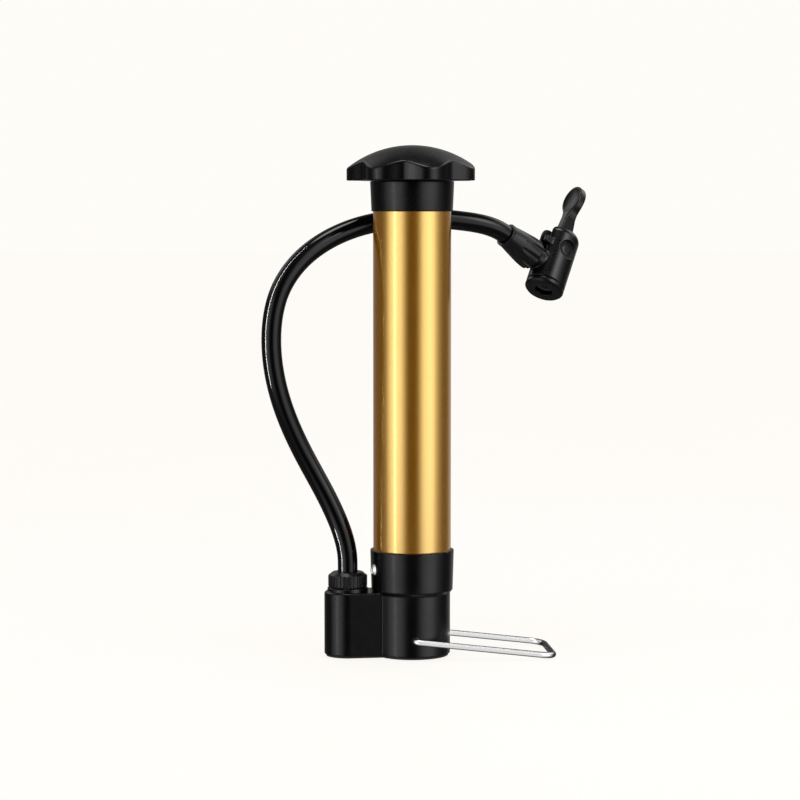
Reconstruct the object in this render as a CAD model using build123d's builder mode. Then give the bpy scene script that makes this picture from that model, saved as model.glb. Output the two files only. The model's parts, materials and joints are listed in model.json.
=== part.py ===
from build123d import *
import math
import os

# Small bicycle pump with a scalloped knob, a fold-out wire foot rest and a hose with a
# lever-lock head. Dimensions in mm.
# Origin: centre of the underside on the barrel axis. +Z up, +X towards the foot rest,
# -X towards the hose union. The hose passes the barrel on its +Y side.

os.makedirs("parts", exist_ok=True)

# ---------------------------------------------------------------- driving dimensions
total_h = 200.0

barrel_r, barrel_bore_r = 15.25, 14.05
barrel_z0, barrel_z1 = 28.0, 183.0
tube_fit = 0.03            # radial gap between the tube and the parts around it
socket_wall_r = barrel_r + tube_fit

base_r = 15.0              # round part of the base
pad_t = 0.8                # how far the rubber pad stands below the base
socket_r0, socket_r1 = 16.0, 16.45
socket_z0, socket_z1 = 26.0, 41.7
spigot_r, spigot_z1 = 13.95, 42.0    # plug that the tube slides over
groove_r, groove_z0, groove_z1 = 12.5, 38.2, 40.4

lobe_x = -25.4             # hose union axis
lobe_r, lobe_z1 = 9.2, 25.5
boss_r, boss_z1 = 8.0, 27.0
neck_r, neck_z1 = 5.8, 31.0
chamber_r = 3.0            # check valve chamber and stem bore
seat_bore_r, seat_z = 1.3, 15.0
passage_r = 1.3

screw_z = 34.3
screw_dir = Vector(-0.948, -0.318, 0).normalized()

wire_r = 1.2               # foot rest wire
pivot_z = 7.4
wire_x, wire_y = 54.5, 16.8

rod_r = 4.0
stud_r = 2.0               # thin lower end of the rod
stud_fit = 0.04
piston_z0, piston_z1 = 50.0, 60.0
rod_shoulder_z = 186.6
rod_tip_r = 2.9            # rod end inside the knob insert
cap_z0, cap_z1 = 174.3, 186.0
cap_r0, cap_r1 = 15.9, 16.4
guide_z0 = 173.0           # lower end of the top cap
bush_r = 6.0

knob_z0 = 186.2
knob_peak_r, knob_trough_r = 25.6, 22.0
knob_lobes = 7
knob_phase = -78.0         # direction of one lobe's crest, degrees
dome_r = 40.7
insert_r = 5.0

hose_r, hose_bore_r = 3.9, 2.25
hose_z0, hose_bend_z = 32.45, 36.5   # straight run out of the union
barb_r, barb_crest_r, barb_bore_r = 2.0, 2.22, 1.2

# Valve head. Heights run along head_up from the face, distances along port_dir from the axis.
head_r, head_top = 8.0, 28.3
head_bore_r = 5.5
gland_r, gland_top = 5.4, 9.0
pusher_r = 5.42
port_t = 10.8              # height of the port
pivot_t = 18.5             # height of the lever pin
pin_r = 1.5
pin_recess = 6.5           # pin recess floors, each way from the head axis
lever_half_w = 2.75
ferrule_f0, ferrule_f1 = 9.95, 26.3
hose_end_f = 11.4
sleeve_in_f = ferrule_f1 + 0.2


# ---------------------------------------------------------------- frames
def turned(x, y, z):
    """Vector turned 5 degrees clockwise seen from above."""
    cos_turn, sin_turn = math.cos(math.radians(5)), math.sin(math.radians(5))
    return Vector(x * cos_turn + y * sin_turn, -x * sin_turn + y * cos_turn, z)


head_face = Vector(56.92, 36.14, 141.95)                  # centre of the face
head_up = turned(0.2942, 0.5073, 0.8097).normalized()     # from the face to the lever
pin_dir = head_up.cross(turned(-0.7168, -0.4437, 0.5384)).normalized()
port_dir = pin_dir.cross(head_up).normalized()            # towards the hose
port_origin = head_face + head_up * port_t

head_axis = Axis(head_face, head_up)
port_axis = Axis(port_origin, port_dir)
lobe_plane = Plane(origin=(lobe_x, 0, 0), x_dir=(1, 0, 0), z_dir=(0, -1, 0))
lobe_axis = Axis((lobe_x, 0, 0), (0, 0, 1))


def head_section(height=0.0):
    """Plane through the head axis: x along the port, y along the head axis."""
    return Plane(origin=head_face + head_up * height, x_dir=port_dir, z_dir=-pin_dir)


def port_level(distance, height=port_t):
    """Plane across the port: x along the lever pin, y along the head axis."""
    origin = head_face + head_up * height + port_dir * distance
    return Plane(origin=origin, x_dir=pin_dir, z_dir=port_dir)


def pin_level(distance, outward=pin_dir):
    """Plane across the lever pin, facing outward."""
    origin = head_face + head_up * pivot_t + outward * distance
    return Plane(origin=origin, x_dir=port_dir, z_dir=outward)


def side_plane(outward, distance, height):
    """Upright plane at a distance from the barrel axis, facing outward."""
    return Plane(origin=outward * distance + Vector(0, 0, height), z_dir=outward)


# ---------------------------------------------------------------- shared builders
def save(builder, name):
    builder.part.label = name
    export_step(builder.part, f"parts/{name}.step")


def revolved_piece(name, plane, axis, profile):
    """Save a closed profile revolved about an axis."""
    with BuildPart() as piece:
        with BuildSketch(plane):
            with BuildLine():
                Polyline(*profile, close=True)
            make_face()
        revolve(axis=axis)
    save(piece, name)


def seal_ring(name, plane, axis, centre, section_r):
    """Save a ring of round section, centred at a point of the plane."""
    with BuildPart() as ring:
        with BuildSketch(plane):
            with Locations(centre):
                Circle(section_r)
        revolve(axis=axis)
    save(ring, name)


# ---------------------------------------------------------------- base
web_taper = math.radians(3.8)
web_x = -10.0              # the web's end inside the round base
web_wall_x = lobe_x + lobe_r * math.sin(web_taper)
web_wall_y = lobe_r * math.cos(web_taper)
web_end_y = web_wall_y - (web_x - web_wall_x) * math.tan(web_taper)

# round recess, lobe recess and the bar joining them, which locate the pad
recess_r, lobe_recess_r = 12.6, 6.8
recess_bar_x, recess_bar_l, recess_bar_w = -14, 20, 11

with BuildPart() as base_body:
    # hose lobe with its web, narrowing a little towards the barrel
    with BuildSketch(Plane.XY.offset(pad_t)):
        with BuildLine():
            Polyline((web_wall_x, web_wall_y), (web_x, web_end_y),
                     (web_x, -web_end_y), (web_wall_x, -web_wall_y))
            ThreePointArc((web_wall_x, -web_wall_y), (lobe_x - lobe_r, 0),
                          (web_wall_x, web_wall_y))
        make_face()
    extrude(amount=lobe_z1 - pad_t)
    top_edges = base_body.faces().sort_by(Axis.Z)[-1].edges()
    fillet(top_edges.filter_by_position(Axis.X, -40, -10.5), radius=0.7)
    # round base, socket around the tube and spigot with its seal groove
    with BuildSketch(Plane.XZ):
        with BuildLine():
            Polyline(
                (0, pad_t), (base_r - 0.5, pad_t), (base_r, pad_t + 0.5),
                (base_r, socket_z0 - 1.2), (socket_r0, socket_z0),
                (socket_r1, socket_z1 - 0.25), (socket_r1 - 0.25, socket_z1),
                (barrel_r + 0.15, socket_z1), (socket_wall_r, socket_z1 - 0.3),
                (socket_wall_r, barrel_z0), (spigot_r, barrel_z0), (spigot_r, groove_z0),
                (groove_r, groove_z0), (groove_r, groove_z1), (spigot_r, groove_z1),
                (spigot_r, spigot_z1 - 0.6), (spigot_r - 0.6, spigot_z1), (0, spigot_z1),
                close=True,
            )
        make_face()
    revolve(axis=Axis.Z)
    # boss and neck of the hose union
    with BuildSketch(lobe_plane):
        with BuildLine():
            Polyline((0, lobe_z1 - 1), (boss_r, lobe_z1 - 1), (boss_r, boss_z1 - 0.3),
                     (boss_r - 0.3, boss_z1), (neck_r, boss_z1), (neck_r, neck_z1 - 0.4),
                     (neck_r - 0.4, neck_z1), (0, neck_z1), close=True)
        make_face()
    revolve(axis=lobe_axis)
    # check valve chamber, 45 degree seat and lower bore
    with BuildSketch(lobe_plane):
        with BuildLine():
            Polyline((0, 7.5), (seat_bore_r, 7.5), (seat_bore_r, seat_z),
                     (chamber_r, seat_z + chamber_r - seat_bore_r),
                     (chamber_r, neck_z1 + 1), (0, neck_z1 + 1), close=True)
        make_face()
    revolve(axis=lobe_axis, mode=Mode.SUBTRACT)
    # slanting air passage from the spigot's top to the lower bore
    with BuildSketch(Plane(origin=(6.6, 0, 42.64), z_dir=(-30.5, 0, -32.5))):
        Circle(passage_r)
    extrude(amount=46.6, mode=Mode.SUBTRACT)
    # barrel screw holes
    for side in (1, -1):
        with BuildSketch(side_plane(screw_dir * side, 8.6, screw_z)):
            Circle(1.52)
        extrude(amount=10, mode=Mode.SUBTRACT)
    # foot rest pivot holes
    for side in (1, -1):
        with BuildSketch(side_plane(Vector(0, side, 0), 11.0, pivot_z)):
            Circle(wire_r + 0.05)
        extrude(amount=6, mode=Mode.SUBTRACT)
    # recess that locates the rubber pad
    with BuildSketch(Plane.XY.offset(pad_t)):
        Circle(recess_r)
        with Locations((lobe_x, 0)):
            Circle(lobe_recess_r)
        with Locations((recess_bar_x, 0)):
            Rectangle(recess_bar_l, recess_bar_w)
    extrude(amount=0.8, mode=Mode.SUBTRACT)
save(base_body, "base_body")

pad_inset = 0.75
with BuildPart() as base_pad:
    with BuildSketch(Plane.XY):
        Circle(base_r - pad_inset)
        with Locations((lobe_x, 0)):
            Circle(lobe_r - pad_inset)
        with BuildLine():
            Polyline((lobe_x + 0.5, 8.42), (-11.0, 7.6), (-11.0, -7.6), (lobe_x + 0.5, -8.42),
                     close=True)
        make_face()
    extrude(amount=pad_t)
    # raised part that fills the base's recess
    with BuildSketch(Plane.XY.offset(pad_t)):
        Circle(recess_r - 0.05)
        with Locations((lobe_x, 0)):
            Circle(lobe_recess_r - 0.05)
        with Locations((recess_bar_x, 0)):
            Rectangle(recess_bar_l - 0.1, recess_bar_w - 0.1)
    extrude(amount=0.75)
    # tread grooves
    with BuildSketch(Plane.XY):
        Circle(11.2)
        Circle(10.2, mode=Mode.SUBTRACT)
        Circle(7.4)
        Circle(6.4, mode=Mode.SUBTRACT)
        with Locations((lobe_x, 0)):
            Circle(5.6)
            Circle(4.6, mode=Mode.SUBTRACT)
    extrude(amount=0.45, mode=Mode.SUBTRACT)
save(base_pad, "base_pad")

# ---------------------------------------------------------------- barrel
with BuildPart() as barrel_tube:
    with BuildSketch(Plane.XZ):
        with BuildLine():
            Polyline((barrel_bore_r + 0.3, barrel_z0), (barrel_r - 0.2, barrel_z0),
                     (barrel_r, barrel_z0 + 0.2), (barrel_r, barrel_z1 - 0.2),
                     (barrel_r - 0.2, barrel_z1), (barrel_bore_r + 0.3, barrel_z1),
                     (barrel_bore_r, barrel_z1 - 0.3), (barrel_bore_r, barrel_z0 + 0.3),
                     close=True)
        make_face()
    revolve(axis=Axis.Z)
    # screw holes
    for side in (1, -1):
        with BuildSketch(side_plane(screw_dir * side, 12.0, screw_z)):
            Circle(1.6)
        extrude(amount=5, mode=Mode.SUBTRACT)
save(barrel_tube, "barrel_tube")

seal_ring("barrel_seal", Plane.XZ, Axis.Z, (13.27, (groove_z0 + groove_z1) / 2), 0.75)

slot_l, slot_w, slot_angle = 2.9, 0.62, 24
screw_centre = Vector(0, 0, screw_z)
with BuildPart() as barrel_screws:
    for side in (1, -1):
        outward = screw_dir * side
        # shank and domed head: x is the distance from the barrel axis, y the radius
        with BuildSketch(Plane(origin=screw_centre, x_dir=outward, z_dir=(0, 0, 1))):
            with BuildLine():
                Polyline((17.65, 0), (9.0, 0), (9.0, 1.1), (9.4, 1.5), (16.32, 1.5),
                         (16.32, 2.6), (16.62, 2.6))
                ThreePointArc((16.62, 2.6), (17.33, 1.55), (17.65, 0))
            make_face()
        revolve(axis=Axis(screw_centre, outward))
        # cross slot
        slot_origin = screw_centre + outward * 17.8
        with BuildSketch(Plane(origin=slot_origin, x_dir=(0, 0, 1), z_dir=outward)):
            Rectangle(slot_l, slot_w, rotation=slot_angle)
            Rectangle(slot_w, slot_l, rotation=slot_angle)
        extrude(amount=-1.0, mode=Mode.SUBTRACT)
save(barrel_screws, "barrel_screws")

with BuildPart() as top_cap:
    with BuildSketch(Plane.XZ):
        with BuildLine():
            Polyline((rod_r + 0.3, cap_z1), (cap_r1 - 0.4, cap_z1), (cap_r1, cap_z1 - 0.4),
                     (cap_r0 + 0.02, cap_z0 + 0.3), (cap_r0 - 0.28, cap_z0),
                     (socket_wall_r, cap_z0), (socket_wall_r, barrel_z1),
                     (14.0, barrel_z1), (14.0, guide_z0 + 0.3), (13.7, guide_z0),
                     (bush_r + 0.02, guide_z0), (bush_r + 0.02, 184.0),
                     (rod_r + 0.3, 184.0), close=True)
        make_face()
    revolve(axis=Axis.Z)
    # air inlet holes
    with BuildSketch(Plane.XY.offset(172.0)):
        with Locations((10, 0), (-10, 0)):
            Circle(0.9)
    extrude(amount=15, mode=Mode.SUBTRACT)
save(top_cap, "top_cap")

# Profiles of the revolved pieces list radius and height.
revolved_piece("rod_guide_bush", Plane.XZ, Axis.Z, [
    (rod_r + 0.05, 171.8), (8.0, 171.8), (8.0, guide_z0), (bush_r, guide_z0),
    (bush_r, 183.9), (rod_r + 0.05, 183.9),
])

# ---------------------------------------------------------------- plunger
revolved_piece("piston_rod", Plane.XZ, Axis.Z, [
    (0, 43.0), (stud_r - 0.3, 43.0), (stud_r, 43.3), (stud_r, piston_z1), (rod_r, piston_z1),
    (rod_r, rod_shoulder_z), (rod_tip_r, rod_shoulder_z), (rod_tip_r, 194.4),
    (rod_tip_r - 0.4, 194.8), (0, 194.8),
])

revolved_piece("piston_head", Plane.XZ, Axis.Z, [
    (stud_r + stud_fit, piston_z0), (13.0, piston_z0), (13.85, 50.9), (13.85, 54.0),
    (12.6, 54.6), (12.6, 56.4), (13.85, 57.0), (13.85, 59.4), (13.3, piston_z1),
    (stud_r + stud_fit, piston_z1),
])

revolved_piece("piston_cup", Plane.XZ, Axis.Z, [
    (2.06, 47.95), (12.0, 47.95), (12.7, 47.2), (13.2, 44.0), (14.0, 44.0), (14.02, 45.0),
    (14.02, 49.0), (13.1, 49.95), (2.06, 49.95),
])

nut_z0, nut_h = 43.4, 3.2
with BuildPart() as piston_washer:
    with BuildSketch(Plane.XY.offset(nut_z0 + nut_h)):
        Circle(10.0)
        Circle(stud_r + stud_fit, mode=Mode.SUBTRACT)
    extrude(amount=1.3)
    top_rim = piston_washer.edges().group_by(Axis.Z)[-1].sort_by(SortBy.LENGTH)[-1]
    chamfer(top_rim, length=0.3)
save(piston_washer, "piston_washer")

with BuildPart() as piston_nut:
    with BuildSketch(Plane.XY.offset(nut_z0)):
        RegularPolygon(radius=4.62, side_count=6)
        Circle(stud_r + 0.02, mode=Mode.SUBTRACT)
    extrude(amount=nut_h)
save(piston_nut, "piston_nut")

revolved_piece("stroke_bumper", Plane.XZ, Axis.Z, [
    (rod_r + 0.03, piston_z1), (7.5, piston_z1), (7.5, 63.2), (6.7, 64.0),
    (rod_r + 0.03, 64.0),
])

# ---------------------------------------------------------------- knob
revolved_piece("knob_insert", Plane.XZ, Axis.Z, [
    (rod_tip_r + 0.04, rod_shoulder_z), (insert_r, rod_shoulder_z), (insert_r, 189.6),
    (4.5, 190.0), (4.5, 191.6), (insert_r, 192.0), (insert_r, 195.2),
    (rod_tip_r + 0.04, 195.2),
])

blank_r = 28.0             # domed envelope, wider than the crests
hub_r, hollow_r = 8.0, 18.5


def scalloped_outline():
    """Points round the knob, with slightly broad crests."""
    points = []
    steps = 10 * knob_lobes
    phase = math.radians(knob_phase)
    for i in range(steps):
        angle = phase + 2 * math.pi * i / steps
        crest = (0.5 + 0.5 * math.cos(knob_lobes * (angle - phase))) ** 0.85
        radius = knob_trough_r + (knob_peak_r - knob_trough_r) * crest
        points.append((radius * math.cos(angle), radius * math.sin(angle)))
    return points


def dome_z(radius):
    """Height of the knob's domed top at a radius."""
    return total_h - dome_r + math.sqrt(dome_r**2 - radius**2)


with BuildPart() as handle_knob:
    with BuildSketch(Plane.XY.offset(knob_z0)):
        with BuildLine():
            Spline(*scalloped_outline(), periodic=True)
        make_face()
    extrude(amount=total_h - knob_z0)
    with BuildSketch(Plane.XZ):
        with BuildLine():
            Polyline((0, total_h), (0, knob_z0), (blank_r, knob_z0),
                     (blank_r, dome_z(blank_r)))
            ThreePointArc((blank_r, dome_z(blank_r)), (blank_r / 2, dome_z(blank_r / 2)),
                          (0, total_h))
        make_face()
    revolve(axis=Axis.Z, mode=Mode.INTERSECT)
    # hollow underside around a hub
    with BuildSketch(Plane.XY.offset(knob_z0)):
        Circle(hollow_r)
        Circle(hub_r, mode=Mode.SUBTRACT)
    extrude(amount=5.0, mode=Mode.SUBTRACT)
    # bore for the insert
    with BuildSketch(Plane.XY.offset(knob_z0)):
        Circle(insert_r + 0.02)
    extrude(amount=9.2, mode=Mode.SUBTRACT)
    # ribs between hub and rim
    with BuildSketch(Plane.XY.offset(knob_z0 + 0.8)):
        with PolarLocations((hub_r + hollow_r) / 2, knob_lobes, start_angle=knob_phase):
            Rectangle(hollow_r - hub_r + 0.5, 1.6)
    extrude(amount=4.5)
save(handle_knob, "handle_knob")

# ---------------------------------------------------------------- check valve and hose union
ball_r = 2.2
# a ball in a 45 degree cone sits sqrt(2) radii above the cone's tip; 0.03 keeps it clear
ball_z = seat_z - seat_bore_r + ball_r * math.sqrt(2) + 0.03
with BuildPart() as check_ball:
    with BuildSketch(lobe_plane):
        with BuildLine():
            Line((0, ball_z - ball_r), (0, ball_z + ball_r))
            ThreePointArc((0, ball_z + ball_r), (ball_r, ball_z), (0, ball_z - ball_r))
        make_face()
    revolve(axis=lobe_axis)
save(check_ball, "check_ball")

with BuildPart() as check_spring:
    with BuildLine() as coil:
        Helix(pitch=1.3, height=5.2, radius=1.6, center=(lobe_x, 0, 19.0))
    with BuildSketch(Plane(origin=coil.line @ 0, z_dir=coil.line % 0)):
        Circle(0.25)
    sweep(path=coil.line, is_frenet=True)
save(check_spring, "check_spring")

with BuildPart() as hose_seal:
    with BuildSketch(Plane.XY.offset(neck_z1)):
        with Locations((lobe_x, 0)):
            Circle(5.2)
            Circle(chamber_r + 0.02, mode=Mode.SUBTRACT)
    extrude(amount=0.6)
save(hose_seal, "hose_seal")

revolved_piece("hose_tail", lobe_plane, lobe_axis, [
    (barb_bore_r, 24.6), (2.6, 24.6), (2.95, 24.95), (2.95, 31.65), (5.3, 31.65),
    (5.3, 32.35), (barb_r, 32.35), (barb_r, 33.4), (barb_crest_r, 33.6), (barb_r, 34.7),
    (barb_crest_r, 34.9), (barb_r, 36.0), (1.8, 36.6), (barb_bore_r, 36.6),
])

nut_r = 7.25
with BuildPart() as hose_nut:
    with BuildSketch(lobe_plane):
        with BuildLine():
            Polyline((5.85, 27.05), (7.0, 27.05), (nut_r, 27.5), (nut_r, 31.8), (5.6, 33.05),
                     (5.2, 33.2), (3.98, 33.2), (3.98, 32.42), (5.85, 32.42), close=True)
        make_face()
    revolve(axis=lobe_axis)
    # grip ribs, with their outer edges broken
    with BuildSketch(Plane.XY.offset(27.75)):
        with Locations((lobe_x, 0)):
            with PolarLocations(nut_r, 30):
                Rectangle(0.95, 0.85)
    extrude(amount=4.0)
    upright_edges = hose_nut.edges().filter_by(Axis.Z).filter_by_position(Axis.Z, 27.7, 31.8)
    chamfer(upright_edges.filter_by(
        lambda e: math.hypot(e.center().X - lobe_x, e.center().Y) > 7.6), length=0.18)
save(hose_nut, "hose_nut")

# ---------------------------------------------------------------- hose
sleeve_in = port_origin + port_dir * sleeve_in_f

# Centre line up out of the union, round the barrel's +Y side and into the head's sleeve:
# point, direction.
hose_nodes = [
    ((lobe_x, 0, hose_bend_z), (0, 0, 1)),
    ((-31.17, 1.93, 57.63), (-0.4108, 0.0792, 0.9083)),
    ((-41.34, 2.97, 77.23), (-0.4657, 0.0069, 0.8849)),
    ((-50.30, 2.24, 97.42), (-0.3241, -0.0605, 0.9441)),
    ((-54.85, 0.89, 118.96), (-0.0722, -0.0474, 0.9963)),
    ((-52.55, 1.15, 140.79), (0.3193, 0.1039, 0.9419)),
    ((-40.18, 6.24, 157.98), (0.7390, 0.3211, 0.5923)),
    ((-21.91, 13.92, 167.57), (0.8909, 0.3514, 0.2879)),
    ((-1.33, 20.98, 171.17), (0.9609, 0.2717, 0.0536)),
    ((20.27, 25.60, 170.64), (0.9800, 0.1681, -0.1067)),
    (tuple(sleeve_in), tuple(-port_dir)),
]


def tangent_arcs(nodes):
    """Join each pair of nodes by two tangent arcs: start, direction, axis, angle of each."""
    arcs = []
    for first, second in zip(nodes, nodes[1:]):
        start, start_dir = Vector(*first[0]), Vector(*first[1]).normalized()
        end, end_dir = Vector(*second[0]), Vector(*second[1]).normalized()
        span = end - start
        # equal tangent length at both nodes, from a quadratic that is linear
        # when the two directions are parallel
        square = 2 * (start_dir.dot(end_dir) - 1)
        linear = -2 * span.dot(start_dir + end_dir)
        constant = span.dot(span)
        if abs(square) < 1e-9:
            reach = -constant / linear
        else:
            root = math.sqrt(linear * linear - 4 * square * constant)
            reach = (-linear - root) / (2 * square)
        start_knee = start + start_dir * reach
        end_knee = end - end_dir * reach
        join = (start_knee + end_knee) * 0.5
        join_dir = (end_knee - start_knee).normalized()
        for origin, heading, target in ((start, start_dir, join), (join, join_dir, end)):
            chord = target - origin
            normal = heading.cross(chord).normalized()
            inward = normal.cross(heading).normalized()
            radius = chord.dot(chord) / (2 * chord.dot(inward))
            angle = 2 * math.degrees(math.asin(chord.length / (2 * radius)))
            arcs.append((origin, heading, Axis(origin + inward * radius, normal), angle))
    return arcs


with BuildPart() as hose:
    with BuildSketch(Plane.XY.offset(hose_z0)):
        with Locations((lobe_x, 0)):
            Circle(hose_r)
            Circle(hose_bore_r, mode=Mode.SUBTRACT)
    extrude(amount=hose_bend_z - hose_z0)
    for arc_start, arc_dir, arc_axis, arc_angle in tangent_arcs(hose_nodes):
        with BuildSketch(Plane(origin=arc_start, z_dir=arc_dir)):
            Circle(hose_r)
            Circle(hose_bore_r, mode=Mode.SUBTRACT)
        revolve(axis=arc_axis, revolution_arc=arc_angle)
    with BuildSketch(Plane(origin=sleeve_in, z_dir=-port_dir)):
        Circle(hose_r)
        Circle(hose_bore_r, mode=Mode.SUBTRACT)
    extrude(amount=sleeve_in_f - hose_end_f)
save(hose, "hose")

# profiles on the port: distance along the port, radius
with BuildPart() as hose_ferrule:
    with BuildSketch(head_section(port_t)):
        with BuildLine():
            Polyline((ferrule_f1, 4.9), (ferrule_f1, 3.96), (11.36, 3.96), (11.36, 4.45),
                     (ferrule_f0, 4.45), (ferrule_f0, 5.6))
            Spline((ferrule_f0, 5.6), (10.4, 6.25), (11.8, 6.58), (14.5, 6.45), (19.0, 5.85),
                   (23.5, 5.15), (25.5, 4.95), (ferrule_f1, 4.9))
        make_face()
    revolve(axis=port_axis)
    # grip flutes on the head end
    with BuildSketch(port_level(ferrule_f0 - 0.2)):
        with PolarLocations(6.85, 10, start_angle=18):
            Circle(1.15)
    extrude(amount=10.6, mode=Mode.SUBTRACT)
save(hose_ferrule, "hose_ferrule")

revolved_piece("hose_barb", head_section(port_t), port_axis, [
    (5.6, barb_bore_r), (5.6, 2.3), (5.85, 2.55), (9.92, 2.55), (9.92, 4.4), (11.3, 4.4),
    (11.3, barb_r), (13.2, barb_r), (13.4, barb_crest_r), (15.6, barb_r),
    (15.8, barb_crest_r), (18.0, barb_r), (18.2, barb_crest_r), (21.5, 1.8),
    (21.5, barb_bore_r),
])

# ---------------------------------------------------------------- valve head
slot_floor = 15.6          # lever slot floor and top of the chamber

with BuildPart() as valve_head_body:
    with BuildSketch(head_section()):
        with BuildLine():
            Polyline((0, head_top), (0, 2.65), (7.7, 2.65), (head_r, 2.95), (head_r, 23.8))
            ThreePointArc((head_r, 23.8), (6.9, 26.7), (4.2, head_top))
            Line((4.2, head_top), (0, head_top))
        make_face()
    revolve(axis=head_axis)
    # port boss
    with BuildSketch(port_level(4.0)):
        Circle(4.7)
    extrude(amount=5.9)
    # ears beside the lever
    with BuildSketch(head_section()):
        with BuildLine():
            Polyline((4.0, 17.2), (9.4, 17.5), (10.2, 18.4), (10.1, 19.8), (9.5, 20.3),
                     (4.0, 21.2), close=True)
        make_face()
    extrude(amount=4.8, both=True)
    # lever slot, open at the top and towards the hose
    with BuildSketch(head_section()):
        with BuildLine():
            Polyline((-5.6, slot_floor), (12.0, slot_floor), (12.0, 30.0), (-5.6, 30.0),
                     close=True)
        make_face()
    extrude(amount=2.9, both=True, mode=Mode.SUBTRACT)
    # chamber for the rubber gland and its pusher, with the cap's thread below it
    with BuildSketch(head_section()):
        with BuildLine():
            Polyline((0, 2.0), (6.45, 2.0), (6.45, 6.0), (head_bore_r, 6.0),
                     (head_bore_r, slot_floor), (0, slot_floor), close=True)
        make_face()
    revolve(axis=head_axis, mode=Mode.SUBTRACT)
    # port bore
    with BuildSketch(port_level(4.0)):
        Circle(2.58)
    extrude(amount=7, mode=Mode.SUBTRACT)
    # pin hole and its round recesses
    with BuildSketch(head_section(pivot_t)):
        Circle(pin_r + 0.02)
    extrude(amount=9, both=True, mode=Mode.SUBTRACT)
    for side in (1, -1):
        with BuildSketch(pin_level(pin_recess, pin_dir * side)):
            Circle(3.9)
        extrude(amount=3, mode=Mode.SUBTRACT)
save(valve_head_body, "valve_head_body")

revolved_piece("head_cap", head_section(), head_axis, [
    (3.9, 0), (7.1, 0), (head_r, 0.9), (head_r, 2.1), (7.8, 2.35), (6.4, 2.35), (6.4, 5.9),
    (head_bore_r, 5.9), (head_bore_r, 2.4), (3.6, 2.4), (3.6, 0.3),
])

revolved_piece("valve_gland", head_section(), head_axis, [
    (3.3, 2.42), (5.2, 2.42), (gland_r, 2.7), (gland_r, 8.7), (5.2, gland_top),
    (3.1, gland_top), (3.1, 2.7),
])

with BuildPart() as gland_pusher:
    with BuildSketch(head_section()):
        with BuildLine():
            Polyline((2.6, gland_top + 0.04), (pusher_r, gland_top + 0.04), (pusher_r, 10.0),
                     (4.5, 10.0), (4.5, 11.6), (pusher_r, 11.6), (pusher_r, 12.6),
                     (4.46, 12.6), (4.46, 13.7), (pusher_r, 13.7), (pusher_r, 14.2),
                     (5.15, 14.47), (0, 14.47), (0, 11.9), (2.6, 11.9), close=True)
        make_face()
    revolve(axis=head_axis)
    # cross hole for the air
    with BuildSketch(port_level(-6)):
        Circle(0.7)
    extrude(amount=12, mode=Mode.SUBTRACT)
save(gland_pusher, "gland_pusher")

seal_ring("pusher_seal", head_section(), head_axis, (4.98, 13.15), 0.48)

with BuildPart() as lever_pin:
    with BuildSketch(pin_level(-6.4)):
        Circle(pin_r)
    extrude(amount=12.9)
    # pin head
    with BuildSketch(pin_level(pin_recess)):
        Circle(2.3)
    extrude(amount=0.6)
    chamfer(lever_pin.edges().sort_by(Axis(head_face, pin_dir))[-1], length=0.25)
save(lever_pin, "lever_pin")

# ---------------------------------------------------------------- lever
cam_h = 4.0                          # pivot to the pusher's top when locked
cam_travel = 1.0 / math.radians(80.0)   # pusher travel per radian of lever
thumb_t = 26.9                       # pivot to the thumb pad's centre


def cam_outline():
    """Cam with constant travel per degree, relative to the pivot."""
    points = []
    for deg in range(0, 101, 10):
        angle = math.radians(deg)
        reach = cam_h - cam_travel * angle
        points.append((reach * math.sin(angle) - cam_travel * math.cos(angle),
                       -reach * math.cos(angle) - cam_travel * math.sin(angle)))
    return points


with BuildPart() as thumb_lever:
    # cam, flat where it locks, then the arm
    cam = cam_outline()
    with BuildSketch(head_section(pivot_t)):
        with BuildLine():
            Spline(*cam)
            Polyline(cam[-1], (2.75, 2.0), (2.9, 8.0), (2.6, 10.5), (2.0, 15.0), (1.5, 20.0),
                     (1.0, 24.0), (-2.4, 24.0), (-3.0, 20.0), (-3.7, 15.0), (-4.3, 9.5),
                     (-3.9, 6.0), (-2.9, 2.0), (-3.0, -2.6), (-2.4, -cam_h), cam[0])
        make_face()
    extrude(amount=lever_half_w, both=True)
    # waist: the arm is thinner from side to side above the cheeks, then widens into the pad
    with BuildSketch(port_level(-6.0, pivot_t)):
        with BuildLine():
            Polyline((4.0, 8.5), (lever_half_w, 8.5), (1.8, 11.0), (1.8, 18.0),
                     (lever_half_w, 22.0), (4.0, 22.0), (4.0, 8.5))
        make_face()
        mirror(about=Plane.YZ)
    extrude(amount=12.0, mode=Mode.SUBTRACT)
    # oval thumb pad
    with BuildSketch(port_level(-2.65, pivot_t)):
        with Locations((0, thumb_t)):
            Ellipse(5.3, 6.4)
    extrude(amount=3.9)
    # thumb hollow facing the hose
    with Locations(tuple(head_face + head_up * (pivot_t + thumb_t) + port_dir * 10.9)):
        Sphere(10.6, mode=Mode.SUBTRACT)
    # pin hole
    with BuildSketch(head_section(pivot_t)):
        Circle(pin_r + 0.05)
    extrude(amount=4, both=True, mode=Mode.SUBTRACT)
save(thumb_lever, "thumb_lever")

# ---------------------------------------------------------------- fold-out wire foot rest
wire_end_y = 11.6
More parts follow.
